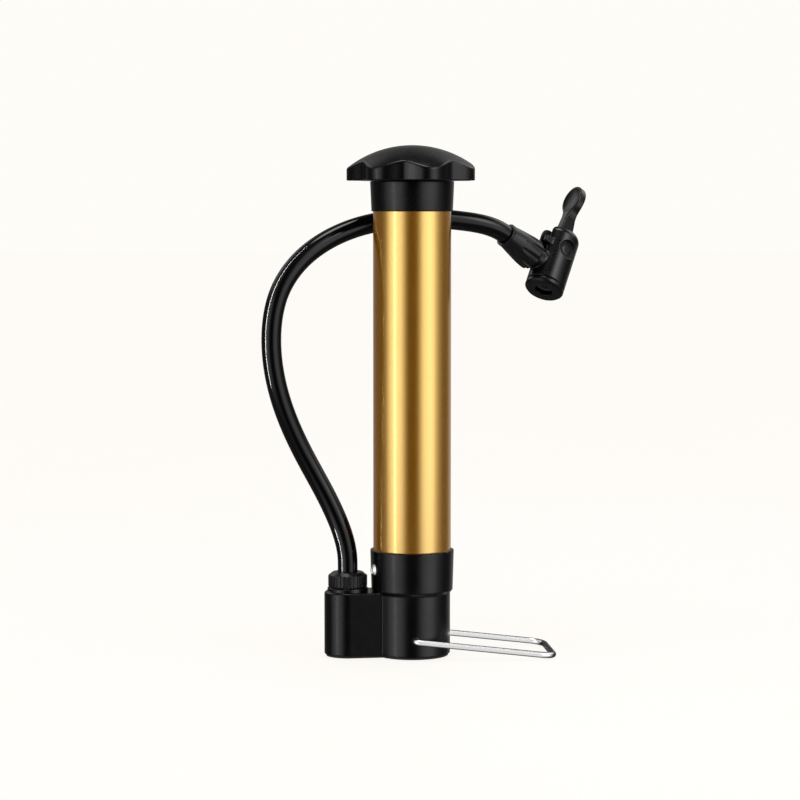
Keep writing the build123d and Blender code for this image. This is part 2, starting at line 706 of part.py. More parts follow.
# corner of the wire's centre line, bend radius (the two ends have none)
corners = [
    (Vector(0, wire_end_y, pivot_z), 0),
    (Vector(0, wire_y, pivot_z), 1.6),
    (Vector(wire_x, wire_y, wire_r), 5.5),
    (Vector(wire_x, -wire_y, wire_r), 5.5),
    (Vector(0, -wire_y, pivot_z), 1.6),
    (Vector(0, -wire_end_y, pivot_z), 0),
]
with BuildPart() as foot_pedal:
    with BuildLine() as wire_path:
        last = corners[0][0]
        for i in range(1, len(corners) - 1):
            corner, bend_r = corners[i]
            to_previous = (corners[i - 1][0] - corner).normalized()
            to_next = (corners[i + 1][0] - corner).normalized()
            half_angle = math.radians(to_previous.get_angle(to_next)) / 2
            run = bend_r / math.tan(half_angle)
            bend_start, bend_end = corner + to_previous * run, corner + to_next * run
            inward = (to_previous + to_next).normalized()
            middle = corner + inward * (bend_r / math.sin(half_angle) - bend_r)
            Line(tuple(last), tuple(bend_start))
            ThreePointArc(tuple(bend_start), tuple(middle), tuple(bend_end))
            last = bend_end
        Line(tuple(last), tuple(corners[-1][0]))
    with BuildSketch(Plane(origin=corners[0][0], z_dir=(0, 1, 0))):
        Circle(wire_r)
    sweep(path=wire_path.wires()[0])
save(foot_pedal, "foot_pedal")
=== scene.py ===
"""Small upright air pump with a gold barrel, a knob on its plunger and a wire foot rest.

The barrel stands on +Z over the origin. The hose leaves the union nut on the -X side of the
base, rises and passes the barrel on the +Y side to a valve head with a thumb lever at +X.
The camera looks from -Y. Shapes are worked out in millimetres and built in metres.
"""
import functools
import json
import math

import bmesh
import bpy
import numpy as np
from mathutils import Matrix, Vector


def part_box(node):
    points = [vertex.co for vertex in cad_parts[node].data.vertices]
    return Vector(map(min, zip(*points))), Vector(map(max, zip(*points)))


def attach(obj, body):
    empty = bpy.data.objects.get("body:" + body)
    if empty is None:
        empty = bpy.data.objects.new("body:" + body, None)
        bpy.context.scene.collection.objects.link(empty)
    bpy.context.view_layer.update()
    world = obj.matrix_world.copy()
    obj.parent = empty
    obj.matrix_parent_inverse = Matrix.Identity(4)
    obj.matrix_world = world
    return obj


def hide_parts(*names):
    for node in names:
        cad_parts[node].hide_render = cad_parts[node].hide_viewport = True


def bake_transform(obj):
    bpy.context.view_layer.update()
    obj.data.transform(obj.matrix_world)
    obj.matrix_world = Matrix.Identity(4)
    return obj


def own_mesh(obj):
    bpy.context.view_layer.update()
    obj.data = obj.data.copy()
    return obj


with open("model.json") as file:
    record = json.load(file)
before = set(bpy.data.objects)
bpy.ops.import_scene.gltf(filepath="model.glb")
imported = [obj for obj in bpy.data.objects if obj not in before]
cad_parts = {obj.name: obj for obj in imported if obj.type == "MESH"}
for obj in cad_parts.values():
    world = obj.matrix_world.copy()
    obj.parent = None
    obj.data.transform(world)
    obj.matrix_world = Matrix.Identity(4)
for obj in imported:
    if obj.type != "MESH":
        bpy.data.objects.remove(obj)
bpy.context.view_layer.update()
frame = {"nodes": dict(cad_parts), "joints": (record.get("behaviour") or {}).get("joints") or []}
joints = {joint["name"]: joint for joint in frame["joints"]}
scene = bpy.context.scene
MM = 0.001


# ------------------------------------------------------------------ vectors and frames
def as_array(values):
    return np.array(list(values), float)


def unit(vector):
    return vector / np.linalg.norm(vector)


def angle_between(first, second):
    return math.acos(max(-1, min(1, float(first @ second))))


def frame_matrix(origin, x=(1, 0, 0), y=(0, 1, 0), z=(0, 0, 1)):
    """Local millimetres to world metres."""
    matrix = np.eye(4)
    matrix[:3, :3] = np.array([x, y, z], float).T * MM
    matrix[:3, 3] = np.array(origin) * MM
    return matrix


def to_world(matrix, points):
    return np.asarray(points) @ matrix[:3, :3].T + matrix[:3, 3]


def size_of(node):
    """Low and high corners of a CAD piece, in mm."""
    low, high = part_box(node)
    return as_array(low) / MM, as_array(high) / MM


PUMP = frame_matrix((0, 0, 0))


# ------------------------------------------------------------------ meshes
def new_object(name, verts, faces):
    mesh = bpy.data.meshes.new(name)
    mesh.from_pydata([tuple(v) for v in verts], [], [tuple(f) for f in faces])
    mesh.update()
    obj = bpy.data.objects.new(name, mesh)
    scene.collection.objects.link(obj)
    mesh.polygons.foreach_set("use_smooth", [True] * len(mesh.polygons))
    return obj


def quad_object(name, verts, quads):
    mesh = bpy.data.meshes.new(name)
    mesh.vertices.add(len(verts))
    mesh.vertices.foreach_set("co", np.asarray(verts, np.float32).ravel())
    mesh.loops.add(len(quads) * 4)
    mesh.loops.foreach_set("vertex_index", np.asarray(quads, np.int32).ravel())
    mesh.polygons.add(len(quads))
    mesh.polygons.foreach_set("loop_start", np.arange(0, len(quads) * 4, 4, dtype=np.int32))
    mesh.update(calc_edges=True)
    mesh.validate()
    mesh.polygons.foreach_set("use_smooth", np.ones(len(mesh.polygons), bool))
    obj = bpy.data.objects.new(name, mesh)
    scene.collection.objects.link(obj)
    return obj


def fix_normals(obj):
    bm = bmesh.new()
    bm.from_mesh(obj.data)
    bmesh.ops.recalc_face_normals(bm, faces=bm.faces)
    bm.to_mesh(obj.data)
    bm.free()


def crease(obj, degrees=32):
    """Keeps real edges crisp while the rest stays smooth."""
    obj.data.set_sharp_from_angle(angle=math.radians(degrees))
    return obj


def corner_arc(corner, back, ahead, run, steps):
    """Arc touching both sides of a corner at `run` from it; back and ahead are unit vectors."""
    angle = angle_between(back, ahead)
    centre = corner + unit(back + ahead) * (run / math.cos(angle / 2))
    start, end = corner + back * run - centre, corner + ahead * run - centre
    sweep = math.pi - angle
    return [centre + start * math.sin((1 - k / steps) * sweep) / math.sin(sweep)
            + end * math.sin(k / steps * sweep) / math.sin(sweep) for k in range(steps + 1)]


def rounded(outline, steps=5):
    """Rounds the inner points of an outline of (r, z) or (r, z, corner radius)."""
    points = [outline[0][:2]]
    for before, here, after in zip(outline, outline[1:], outline[2:]):
        corner = np.array(here[:2], float)
        radius = here[2] if len(here) == 3 else 0
        back, ahead = np.array(before[:2]) - corner, np.array(after[:2]) - corner
        back_length, ahead_length = np.linalg.norm(back), np.linalg.norm(ahead)
        if radius <= 0 or back_length < 1e-9 or ahead_length < 1e-9:
            points.append(here[:2])
            continue
        back, ahead = back / back_length, ahead / ahead_length
        angle = angle_between(back, ahead)
        if angle > math.pi - 0.02:
            points.append(here[:2])
            continue
        run = min(radius / math.tan(angle / 2), back_length * 0.49, ahead_length * 0.49)
        points += corner_arc(corner, back, ahead, run, steps)
    return points + [outline[-1][:2]]


def lathe(name, outline, segments, matrix=PUMP, closed=True):
    """Turns a rounded outline about local z. Points on the axis become single vertices."""
    verts, rings = [], []
    for radius, z in rounded(outline):
        start = len(verts)
        if radius < 1e-6:
            rings.append([start] * segments)
            verts.append((0, 0, z))
            continue
        for i in range(segments):
            angle = 2 * math.pi * i / segments
            verts.append((radius * math.cos(angle), radius * math.sin(angle), z))
        rings.append(list(range(start, start + segments)))
    faces = []
    for k in range(len(rings) if closed else len(rings) - 1):
        ring, above = rings[k], rings[(k + 1) % len(rings)]
        if ring[0] == ring[1] and above[0] == above[1]:
            continue
        for i in range(segments):
            j = (i + 1) % segments
            face = [ring[i], ring[j], above[j], above[i]]
            face = [v for m, v in enumerate(face) if v != face[m - 1]]
            if len(face) >= 3:
                faces.append(face)
    obj = new_object(name, to_world(matrix, verts), faces)
    fix_normals(obj)
    return obj


def tube(name, path, radius, segments=32, bore=None):
    """Sweeps a circle along a dense path with a twist-free frame, capped or hollow."""
    path = np.asarray(path, float)
    count = len(path)
    tangents = np.gradient(path, axis=0)
    tangents /= np.linalg.norm(tangents, axis=1)[:, None]
    angles = 2 * np.pi * np.arange(segments) / segments
    across = unit(np.cross(tangents[0], (0.3, 0.9, 0.2)))
    spokes = []
    for tangent in tangents:
        across = unit(across - tangent * (across @ tangent))
        spokes.append(np.outer(np.cos(angles), across)
                      + np.outer(np.sin(angles), np.cross(tangent, across)))
    spokes = np.array(spokes)

    verts = list((path[:, None] + radius * spokes).reshape(-1, 3))
    sides = [(j, (j + 1) % segments) for j in range(segments)]
    rings = [(i * segments, (i + 1) * segments) for i in range(count - 1)]
    last = (count - 1) * segments
    faces = [(a + j, a + k, b + k, b + j) for a, b in rings for j, k in sides]
    if bore:
        inner = len(verts)
        verts += list((path[:, None] + bore * spokes).reshape(-1, 3))
        faces += [(inner + a + j, inner + b + j, inner + b + k, inner + a + k)
                  for a, b in rings for j, k in sides]
        for j, k in sides:
            faces.append((k, j, inner + j, inner + k))
            faces.append((last + j, last + k, inner + last + k, inner + last + j))
    else:
        hub = len(verts)
        verts += [path[0], path[-1]]
        faces += [(hub, k, j) for j, k in sides]
        faces += [(last + j, last + k, hub + 1) for j, k in sides]
    obj = new_object(name, np.array(verts) * MM, faces)
    fix_normals(obj)
    return obj


# ------------------------------------------------------------------ signed distance fields
# Fields take x, y, z in local mm and are negative inside.
def smin(a, b, blend):
    h = np.clip(0.5 + 0.5 * (b - a) / blend, 0, 1)
    return b * (1 - h) + a * h - blend * h * (1 - h)


def smax(a, b, blend):
    return -smin(-a, -b, blend)


def cut(body, tool, blend):
    return smax(body, -tool, blend)


def overlap(*fields):
    return functools.reduce(np.maximum, fields)


def rounded_overlap(a, b, rounding):
    a, b = a + rounding, b + rounding
    outside = np.hypot(np.maximum(a, 0), np.maximum(b, 0))
    return np.minimum(np.maximum(a, b), 0) + outside - rounding


def cylinder(radial, along, radius, half, rounding):
    """Capped cylinder from a radial distance and a distance along its axis."""
    return rounded_overlap(radial - radius, np.abs(along) - half, rounding)


def box(x, y, z, half, rounding):
    sides = [np.abs(v) - h + rounding for v, h in zip((x, y, z), half)]
    outside = np.sqrt(sum(np.maximum(side, 0) ** 2 for side in sides))
    return outside + np.minimum(overlap(*sides), 0) - rounding


def polygon(points, x, y):
    """Signed distance to a closed polygon."""
    points = np.array(points, float)
    squared = np.full(np.shape(x), 1e9)
    sign = np.ones(np.shape(x))
    for i in range(len(points)):
        a, b = points[i], points[i - 1]
        edge_x, edge_y = b[0] - a[0], b[1] - a[1]
        from_x, from_y = x - a[0], y - a[1]
        along = (from_x * edge_x + from_y * edge_y) / (edge_x * edge_x + edge_y * edge_y)
        along = np.clip(along, 0, 1)
        off_x, off_y = from_x - edge_x * along, from_y - edge_y * along
        squared = np.minimum(squared, off_x * off_x + off_y * off_y)
        above, below = y >= a[1], y < b[1]
        left = edge_x * from_y > edge_y * from_x
        sign = np.where((above & below & left) | (~above & ~below & ~left), -sign, sign)
    return sign * np.sqrt(squared)


def sector(angle, count):
    """Angle from the middle of the nearest of `count` equal sectors."""
    return np.mod(angle + math.pi / count, 2 * math.pi / count) - math.pi / count


def settle(points, field, step, rounds=4):
    """Moves points onto the zero surface by damped Newton steps."""
    reach = step * 0.05
    for _ in range(rounds):
        value = field(points[:, 0], points[:, 1], points[:, 2])
        gradient = np.empty_like(points)
        for axis in range(3):
            offset = np.zeros(3)
            offset[axis] = reach
            gradient[:, axis] = (field(*(points + offset).T)
                                 - field(*(points - offset).T)) / (2 * reach)
        squared = np.maximum((gradient * gradient).sum(1), 0.2)
        move = -(value / squared)[:, None] * gradient
        length = np.linalg.norm(move, axis=1, keepdims=True)
        move *= np.minimum(1, step * 0.35 / np.maximum(length, 1e-9))
        points += move * 0.9


def skin(name, field, low, high, step, matrix=PUMP):
    """Skins the zero surface of a field as a closed quad mesh, one vertex per crossed cell."""
    low, high = np.array(low, float), np.array(high, float)
    size = np.ceil((high - low) / step).astype(int) + 1
    axes = [low[i] + step * np.arange(size[i]) for i in range(3)]
    values = np.empty(tuple(size), np.float32)
    slab = max(1, int(1.5e6 // (size[1] * size[2])))  # bounds the memory used at once
    for i in range(0, size[0], slab):
        grid = np.meshgrid(axes[0][i : i + slab], axes[1], axes[2], indexing="ij")
        values[i : i + slab] = field(*grid)
    values[values == 0] = 1e-6

    cells = size - 1
    total = np.zeros(tuple(cells) + (3,), np.float32)
    hits = np.zeros(tuple(cells), np.float32)
    crossings = []
    for axis in range(3):
        near, far = [slice(None)] * 3, [slice(None)] * 3
        near[axis], far[axis] = slice(0, -1), slice(1, None)
        start, end = values[tuple(near)], values[tuple(far)]
        where = np.nonzero((start < 0) != (end < 0))
        start, end = start[where], end[where]
        corner = np.stack(where, 1)
        place = corner.astype(np.float32)
        place[:, axis] += start / (start - end)
        crossings.append((axis, corner, start < 0))
        b, c = [k for k in range(3) if k != axis]
        for back_b in (0, 1):
            for back_c in (0, 1):
                cell = corner.copy()
                cell[:, b] -= back_b
                cell[:, c] -= back_c
                valid = (cell >= 0).all(1) & (cell < cells).all(1)
                chosen = tuple(cell[valid].T)
                np.add.at(total, chosen, place[valid])
                np.add.at(hits, chosen, 1)
    used = np.nonzero(hits > 0)
    index = -np.ones(tuple(cells), np.int64)
    index[used] = np.arange(len(used[0]))
    points = low + total[used] / hits[used][:, None] * step

    quads = []
    for axis, corner, inside in crossings:
        b, c = (axis + 1) % 3, (axis + 2) % 3
        valid = ((corner[:, b] > 0) & (corner[:, c] > 0)
                 & (corner[:, b] < cells[b]) & (corner[:, c] < cells[c]))
        corner, inside = corner[valid], inside[valid]
        quad = []
        for back_b, back_c in ((1, 1), (0, 1), (0, 0), (1, 0)):
            cell = corner.copy()
            cell[:, b] -= back_b
            cell[:, c] -= back_c
            quad.append(index[tuple(cell.T)])
        quad = np.stack(quad, 1)
        quad[~inside] = quad[~inside][:, ::-1]
        quads.append(quad)
    settle(points, field, step)
    return quad_object(name, to_world(matrix, points), np.concatenate(quads))


def grid_step(full):
    return full


# ------------------------------------------------------------------ node trees
class Nodes:
    """A small helper around a node tree."""

    def __init__(self, tree):
        self.tree = tree
        tree.nodes.clear()

    def node(self, kind, inputs=None, **settings):
        node = self.tree.nodes.new("ShaderNode" + kind)
        for key, value in settings.items():
            setattr(node, key, value)
        self.feed(node, inputs or {})
        return node

    def feed(self, node, inputs):
        """Links sockets and sets plain values; three-part colours become opaque."""
        for key, value in inputs.items():
            socket = node.inputs[key]
            if isinstance(value, bpy.types.NodeSocket):
                self.tree.links.new(value, socket)
            elif socket.type == "RGBA":
                socket.default_value = value + (1,)
            else:
                socket.default_value = value

    def remap(self, value, source, target=(0, 1), **settings):
        return self.node("MapRange", {
            "From Min": source[0], "From Max": source[1],
            "To Min": target[0], "To Max": target[1], "Value": value,
        }, **settings).outputs["Result"]

    def math(self, operation, a, b):
        return self.node("Math", {0: a, 1: b}, operation=operation).outputs[0]

    def mix(self, factor, a, b):
        return self.node("Mix", {0: factor, 6: a, 7: b}, data_type="RGBA").outputs[2]


class Shader(Nodes):
    """A material with one principled shader, textured in object coordinates."""

    def __init__(self, name):
        self.material = bpy.data.materials.new(name)
        self.material.use_nodes = True
        super().__init__(self.material.node_tree)
        output = self.node("OutputMaterial")
        self.principled = self.node("BsdfPrincipled")
        self.feed(output, {0: self.principled.outputs[0]})
        self.coord = self.node("TexCoord").outputs["Object"]

    def scaled(self, scale):
        return self.node("Mapping", {"Scale": scale, "Vector": self.coord}).outputs[0]

    def noise(self, scale, detail, rough, vector=None):
        return self.node("TexNoise", {
            "Scale": scale, "Detail": detail, "Roughness": rough, "Vector": vector or self.coord,
        }).outputs["Fac"]

    def edge(self, low=0.52, high=0.62):
        """Rises from 0 to 1 on convex edges."""
        return self.remap(self.node("NewGeometry").outputs["Pointiness"], (low, high))

    def bump(self, *layers):
        """Stacks layers of (height, strength, distance in metres)."""
        inputs = {}
        for height, strength, distance in layers:
            inputs.update({"Height": height, "Strength": strength, "Distance": distance})
            inputs["Normal"] = self.node("Bump", inputs).outputs[0]
        self.feed(self.principled, {"Normal": inputs["Normal"]})

    def finish(self, **inputs):
        self.feed(self.principled, {key.replace("_", " "): v for key, v in inputs.items()})
        return self.material


def tint(color, gain, lift=0):
    return tuple(c * gain + lift for c in color)


# ------------------------------------------------------------------ materials
def plastic(name, color=(0.0010, 0.0010, 0.0012), rough=0.235, grain=2600, grain_height=0.035,
            edge_wear_and_glint=0.5):
    """Moulded plastic with fine grain, smears and lighter edges, from wear and, where turned up, a
    painted edge highlight.
    """
    s = Shader(name)
    broad = s.noise(scale=45, detail=4, rough=0.55)
    fine = s.noise(scale=grain, detail=2, rough=0.6)
    smear = s.noise(scale=160, detail=5, rough=0.65)
    edge = s.edge()
    base = s.mix(s.remap(broad, (0.3, 0.7)), color, tint(color, 1.35))
    # lighter convex edges: edge wear; where turned up, as on the lever, it stands in as a painted
    # highlight along the rims
    worn = s.math("MULTIPLY", edge, s.remap(smear, (0.4, 0.65), (0.2, 1)))
    base = s.mix(s.math("MULTIPLY", worn, edge_wear_and_glint), base, tint(color, 3.0, lift=0.005))
    roughness = s.math("ADD", s.remap(smear, (0.3, 0.7), (rough - 0.035, rough + 0.045)),
                       s.remap(fine, (0.3, 0.7), (-0.02, 0.02)))
    s.bump((fine, grain_height, 0.00006), (broad, 0.05, 0.0004))
    return s.finish(Base_Color=base, Roughness=roughness, Specular_IOR_Level=0.5)


def metal(name, color, rough, brushed=None):
    """Bare metal with fine lines, stretched when brushed."""
    s = Shader(name)
    broad = s.noise(scale=60, detail=4, rough=0.5)
    vector = s.scaled(brushed) if brushed else s.coord
    lines = s.noise(scale=900, detail=3, rough=0.6, vector=vector)
    base = s.mix(s.remap(broad, (0.3, 0.7)), tint(color, 0.94), color)
    base = s.mix(s.math("MULTIPLY", s.edge(), 0.2), base, tint(color, 1.15, lift=0.05))
    roughness = s.math("ADD", s.remap(broad, (0.3, 0.7), (rough - 0.02, rough + 0.03)),
                       s.remap(lines, (0.3, 0.7), (-0.02, 0.03)))
    s.bump((lines, 0.1, 0.00003))
    return s.finish(Base_Color=base, Metallic=1.0, Roughness=roughness)


def anodised():
    """Gold dyed aluminium tube: saturated metal under a thin clear layer, drawn lengthwise, with a
    painted orange glow that lifts its shaded sides.
    """
    s = Shader("gold_anodised")
    broad = s.noise(scale=22, detail=3, rough=0.5)
    cloud = s.noise(scale=90, detail=5, rough=0.6)
    drawn = s.noise(scale=1400, detail=4, rough=0.65, vector=s.scaled((1.0, 1.0, 0.02)))
    fine = s.noise(scale=5200, detail=2, rough=0.5)
    base = s.mix(s.remap(broad, (0.3, 0.7)), (0.93, 0.56, 0.045), (0.95, 0.59, 0.052))
    base = s.mix(s.remap(cloud, (0.35, 0.7), (0, 0.05)), base, (0.96, 0.63, 0.08))
    worn = s.math("MULTIPLY", s.edge(0.53, 0.6), 0.55)
    base = s.mix(worn, base, (0.93, 0.80, 0.55))
    roughness = s.math("ADD", s.remap(cloud, (0.3, 0.7), (0.245, 0.265)),
                       s.remap(drawn, (0.35, 0.65), (-0.008, 0.008)))
    s.bump((drawn, 0.012, 0.00003), (fine, 0.01, 0.00002))
    # painted glow: a faint orange emission lifts the tube's shaded bands
    return s.finish(Base_Color=base, Metallic=1.0, Roughness=roughness, Coat_Weight=1.0,
                    Coat_Roughness=0.15, Coat_IOR=2.5, Emission_Color=(1.0, 0.30, 0.0),
                    Emission_Strength=0.115)


def rubber(name, color, rough):
    s = Shader(name)
    grain = s.noise(scale=1800, detail=3, rough=0.6)
    broad = s.noise(scale=80, detail=4, rough=0.6)
    base = s.mix(s.remap(broad, (0.35, 0.7)), color, tint(color, 1.6, lift=0.002))
    s.bump((grain, 0.2, 0.00008))
    roughness = s.remap(broad, (0.3, 0.7), (rough - 0.05, rough + 0.06))
    return s.finish(Base_Color=base, Roughness=roughness, Specular_IOR_Level=0.4)


def hose_rubber():
    """Gloss rubber with faint flow marks."""
    s = Shader("hose_gloss")
    flow = s.noise(scale=420, detail=4, rough=0.55)
    broad = s.noise(scale=38, detail=3, rough=0.5)
    fine = s.noise(scale=3000, detail=2, rough=0.5)
    base = s.mix(s.remap(broad, (0.3, 0.7)), (0.0008, 0.0008, 0.001), (0.0016, 0.0016, 0.0018))
    s.bump((flow, 0.03, 0.0002), (fine, 0.02, 0.00003))
    return s.finish(Base_Color=base, Roughness=s.remap(flow, (0.3, 0.7), (0.07, 0.1)),
                    IOR=1.42, Specular_IOR_Level=0.5)


def chrome(name, glow, rough):
    """Bright plating with a painted glow where it faces the viewer and painted dark rims where it
    turns away, as under a wide soft light.
    """
    s = Shader(name)
    fine = s.noise(scale=700, detail=4, rough=0.6)
    broad = s.noise(scale=60, detail=3, rough=0.5)
    base = s.mix(s.remap(broad, (0.3, 0.7)), (0.80, 0.81, 0.82), (0.88, 0.885, 0.89))
    s.bump((fine, 0.04, 0.00003))
    facing = s.node("LayerWeight", {"Blend": 0.35}).outputs["Facing"]
    # painted glow where the surface faces the viewer
    lift = s.remap(facing, (0.08, 0.34), (glow, 0.0))
    # painted shade: dark rims where the surface turns away from the viewer
    base = s.mix(s.remap(facing, (0.26, 0.5)), base, (0.32, 0.323, 0.328))
    return s.finish(Base_Color=base, Metallic=1.0,
                    Roughness=s.remap(fine, (0.3, 0.7), (rough, rough + 0.06)),
                    Emission_Color=(1.0, 1.0, 0.99), Emission_Strength=lift,
                    Specular_Tint=(0.45, 0.45, 0.46))


def studio_floor():
    s = Shader("studio_floor")
    patches = s.remap(s.noise(scale=3, detail=3, rough=0.5), (0.3, 0.7))
    base = s.mix(patches, (0.12, 0.119, 0.117), (0.13, 0.129, 0.127))
    return s.finish(Base_Color=base, Roughness=0.75, Emission_Color=(1.0, 0.974, 0.938),
                    Emission_Strength=0.872, Specular_IOR_Level=0.2)


MATERIALS = {
    "gold": anodised(),
    "black": plastic("moulded_black"),
    "knob": plastic("knob_black", color=(0.0014, 0.0014, 0.0016), grain=2200, grain_height=0.03),
    "cap": plastic("cap_black", rough=0.245),
    "head": plastic("head_black", color=(0.0014, 0.0014, 0.0016), rough=0.25, grain=3400,
                    grain_height=0.03),
    # the lever's edges are lightened strongly as a painted highlight along its rims
    "lever": plastic("lever_black", color=(0.0016, 0.0016, 0.0018), rough=0.19, grain=3400,
                     grain_height=0.03, edge_wear_and_glint=1.4),
    "fitting": plastic("fitting_black", color=(0.0032, 0.0032, 0.0036), rough=0.28, grain=3600,
                       grain_height=0.07, edge_wear_and_glint=0.8),
    "hose": hose_rubber(),
    "rubber": rubber("seal_rubber", color=(0.012, 0.012, 0.012), rough=0.55),
    "gland": rubber("gland_rubber", color=(0.03, 0.03, 0.031), rough=0.5),
    "chrome": chrome("chrome_wire", glow=0.62, rough=0.14),
    "steel": metal("bright_steel", color=(0.62, 0.62, 0.63), rough=0.2, brushed=(1, 1, 0.03)),
    "plated": chrome("plated_screw", glow=0.5, rough=0.3),
    "brass": metal("turned_brass", color=(0.72, 0.52, 0.22), rough=0.24),
    "white": plastic("natural_nylon", color=(0.62, 0.61, 0.57), rough=0.42, edge_wear_and_glint=0.05),
}

# material: the CAD pieces that wear it
CAD_MATERIALS = {
    "rubber": "base_pad barrel_seal piston_cup stroke_bumper hose_seal pusher_seal",
    "steel": "barrel_screws piston_washer piston_nut check_ball check_spring piston_rod lever_pin",
    "white": "rod_guide_bush piston_head gland_pusher",
    "brass": "knob_insert hose_tail hose_barb",
    "fitting": "hose_nut hose_ferrule",
    "head": "valve_head_body head_cap",
    "gold": "barrel_tube", "cap": "top_cap", "knob": "handle_knob", "black": "base_body",
    "hose": "hose", "gland": "valve_gland", "lever": "thumb_lever", "chrome": "foot_pedal",
}


def paint(obj, material):
    obj.data.materials.clear()
    obj.data.materials.append(MATERIALS[material])


for material, pieces in CAD_MATERIALS.items():
    for piece in pieces.split():
        paint(frame["nodes"][piece], material)


def dress(obj, material, body, node):
    """Paints a skin, ties it to a moving body and lets it stand in for a CAD piece."""
    paint(obj, material)
    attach(obj, body)
    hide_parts(node)


# ------------------------------------------------------------------ barrel
barrel_low, barrel_high = size_of("barrel_tube")
BARREL_R = (barrel_high[0] - barrel_low[0]) / 2
BARREL_BORE = BARREL_R - 1.2
BARREL_Z0, BARREL_Z1 = barrel_low[2], barrel_high[2]

# (r, z, corner radius)
barrel = crease(lathe("barrel_skin", [
    (BARREL_BORE, BARREL_Z0 + 3), (BARREL_BORE, BARREL_Z0, 0.25), (BARREL_R, BARREL_Z0, 0.3),
    (BARREL_R, (BARREL_Z0 + BARREL_Z1) / 2), (BARREL_R, BARREL_Z1, 0.3),
    (BARREL_BORE, BARREL_Z1, 0.25), (BARREL_BORE, BARREL_Z1 - 3),
], segments=224))
dress(barrel, "gold", "base", "barrel_tube")

# ------------------------------------------------------------------ top cap
cap_low, cap_high = size_of("top_cap")
CAP_R = (cap_high[0] - cap_low[0]) / 2
CAP_Z0, CAP_Z1 = BARREL_Z1 - 8.7, cap_high[2]
ROD_HOLE_R = 4.3

# (r, z, corner radius)
cap = crease(lathe("top_cap_skin", [
    (ROD_HOLE_R, CAP_Z1 - 1.0), (ROD_HOLE_R, CAP_Z1, 0.3),
    # a shallow groove round the top face
    (CAP_R - 1.3, CAP_Z1, 0.2), (CAP_R - 1.1, CAP_Z1 - 0.25, 0.1),
    (CAP_R - 0.75, CAP_Z1 - 0.25, 0.1), (CAP_R - 0.55, CAP_Z1, 0.15),
    (CAP_R, CAP_Z1 - 0.1, 0.45), (CAP_R - 0.5, CAP_Z0, 0.45),
    # the skirt's inside, over the barrel
    (BARREL_R + 0.06, CAP_Z0, 0.2), (BARREL_R + 0.03, CAP_Z0 + 0.8),
    (BARREL_R + 0.03, BARREL_Z1 + 0.02), (14.0, BARREL_Z1 + 0.02), (14.0, 173.2, 0.2),
    (6.05, 173.0, 0.2), (6.05, 184.0), (ROD_HOLE_R, 184.0),
], segments=192))
dress(cap, "cap", "base", "top_cap")

# ------------------------------------------------------------------ knob
knob_low, knob_high = size_of("handle_knob")
KNOB_Z0, KNOB_Z1 = knob_low[2], knob_high[2]
KNOB_LOBES, KNOB_PHASE = 7, math.radians(-78.0)
KNOB_VALLEY_R, KNOB_LOBE_HEIGHT = 22.0, 3.6
KNOB_DOME_R = 40.7


def knob_field(x, y, z):
    radial = np.hypot(x, y)
    angle = np.arctan2(y, x) - KNOB_PHASE
    wave = ((0.5 + 0.5 * np.cos(KNOB_LOBES * angle) + 0.012) / 1.012) ** 0.85
    rim = KNOB_VALLEY_R + KNOB_LOBE_HEIGHT * wave
    # evens out the distance where the rim runs at a slant
    slope = (KNOB_LOBE_HEIGHT / 2 * KNOB_LOBES * np.abs(np.sin(KNOB_LOBES * angle))
             / np.maximum(radial, 12))
    side = (radial - rim) / np.sqrt(1 + slope * slope * 0.8)
    dome = np.sqrt(x * x + y * y + (z - (KNOB_Z1 - KNOB_DOME_R)) ** 2) - KNOB_DOME_R
    body = smax(side, dome, blend=0.5)
    body = smax(body, KNOB_Z0 - z, blend=0.35)
    # ring-shaped pocket underneath, bridged by one rib per lobe
    pocket = overlap(radial - 18.5, 8.0 - radial, z - (KNOB_Z0 + 5.0))
    body = cut(body, pocket, blend=0.5)
    off_rib = np.abs(radial * np.sin(sector(angle, KNOB_LOBES)))
    rib = overlap(off_rib - 0.8, np.abs(radial - 13.2) - 6.0, np.abs(z - (KNOB_Z0 + 3.3)) - 2.5)
    body = smin(body, rib, blend=0.4)
    socket = overlap(radial - 5.02, z - (KNOB_Z0 + 9.2))
    return cut(body, socket, blend=0.2)


knob = skin("knob_skin", knob_field, (-27, -27, KNOB_Z0 - 1), (27, 27, KNOB_Z1 + 1), step=0.36)
dress(knob, "knob", "plunger", "handle_knob")

# ------------------------------------------------------------------ base
UNION_X = joints["union_nut_turn"]["pos_m"][0] / MM
SCREW_DIRECTION = unit(np.array([-0.948, -0.318]))
SCREW_Z = 34.3
FOOT_WIRE_Z = 7.4  # height of the wire's ends in the base
LOBE_R = 9.2
TAPER = math.radians(3.8)
wall_x, wall_y = UNION_X + LOBE_R * math.sin(TAPER), LOBE_R * math.cos(TAPER)
end_y = wall_y - (-6.0 - wall_x) * math.tan(TAPER)
# (x, y) of the tapered web between the union lobe and the barrel ring
WEB = [(wall_x, wall_y), (-6.0, end_y), (-6.0, -end_y), (wall_x, -wall_y),
       (UNION_X, -8.0), (UNION_X, 8.0)]
# (r, z) half section of the barrel ring
RING = [
    (-1, 0.8), (14.85, 0.8), (15.0, 1.0), (15.0, 24.8), (16.0, 26.0), (16.45, 41.7),
    (15.28, 41.7), (15.28, 28.0), (13.95, 28.0), (13.95, 38.2), (12.5, 38.2), (12.5, 40.4),
    (13.95, 40.4), (13.95, 42.0), (-1, 42.0),
]


